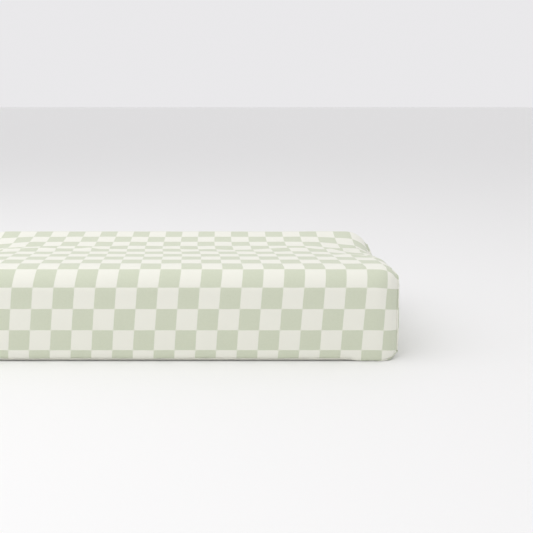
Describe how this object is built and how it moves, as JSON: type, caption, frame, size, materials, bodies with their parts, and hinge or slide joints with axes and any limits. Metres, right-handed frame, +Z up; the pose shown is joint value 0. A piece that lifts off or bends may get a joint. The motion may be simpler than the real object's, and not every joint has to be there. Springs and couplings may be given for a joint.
{
  "type": "changing pad",
  "caption": "Two-sided contoured foam changing pad in a fitted sage and off-white checked cover, with zipped waterproof liner and stowed safety belt.",
  "frame": {"origin": "centre of the footprint, on the surface that the pad lies on", "axes": "+X along the pad, +Y across it towards the back long side, +Z up"},
  "size_m": [0.816, 0.406, 0.154],
  "materials": {
    "cover_cloth": "cotton percale printed with sage and off-white checks",
    "elastic": "braided elastic",
    "foam": "open-cell polyurethane foam",
    "liner_vinyl": "embossed waterproof vinyl",
    "label_satin": "woven satin, blank",
    "zip_tape": "woven polyester tape",
    "zip_nylon": "nylon coil",
    "nickel": "nickel plated",
    "webbing": "woven polyester webbing",
    "buckle_plastic": "moulded acetal"
  },
  "bodies": {
    "pad": {"cover_main_panel": "cover_cloth", "cover_end_panel_left": "cover_cloth", "cover_end_panel_right": "cover_cloth", "hem_casing": "cover_cloth", "hem_elastic": "elastic", "foam_core": "foam", "liner_top_shell": "liner_vinyl", "liner_base_panel": "liner_vinyl", "care_label": "label_satin", "zip_tape_front": "zip_tape", "zip_tape_rear": "zip_tape", "zip_coil_front": "zip_nylon", "zip_coil_rear": "zip_nylon", "zip_stop_closed": "nickel", "zip_stop_open": "nickel", "belt_anchor_front": "webbing", "belt_anchor_rear": "webbing", "belt_strap_front": "webbing", "buckle_socket": "buckle_plastic", "anchor_strap_left": "webbing", "anchor_strap_right": "webbing", "anchor_eyelet_left": "nickel", "anchor_eyelet_right": "nickel"},
    "zip_slider": {"zip_slider": "nickel"},
    "zip_pull": {"zip_pull": "nickel"},
    "buckle_plug": {"buckle_plug": "buckle_plastic", "belt_strap_rear": "webbing"}
  },
  "joints": [
    {"name": "zip_slide", "type": "slide", "parent": "pad", "child": "zip_slider", "axis": [-1, 0, 0], "range_m": [0, 0.6]},
    {"name": "pull_swing", "type": "hinge", "parent": "zip_slider", "child": "zip_pull", "pos_m": [0.307, -0.115, 0.0026], "axis": [0, -1, 0], "range_deg": [0, 175]},
    {"name": "buckle_release", "type": "slide", "parent": "pad", "child": "buckle_plug", "axis": [0, 1, 0], "range_m": [0, 0.03], "deforming": ["belt_strap_rear"]}
  ]
}
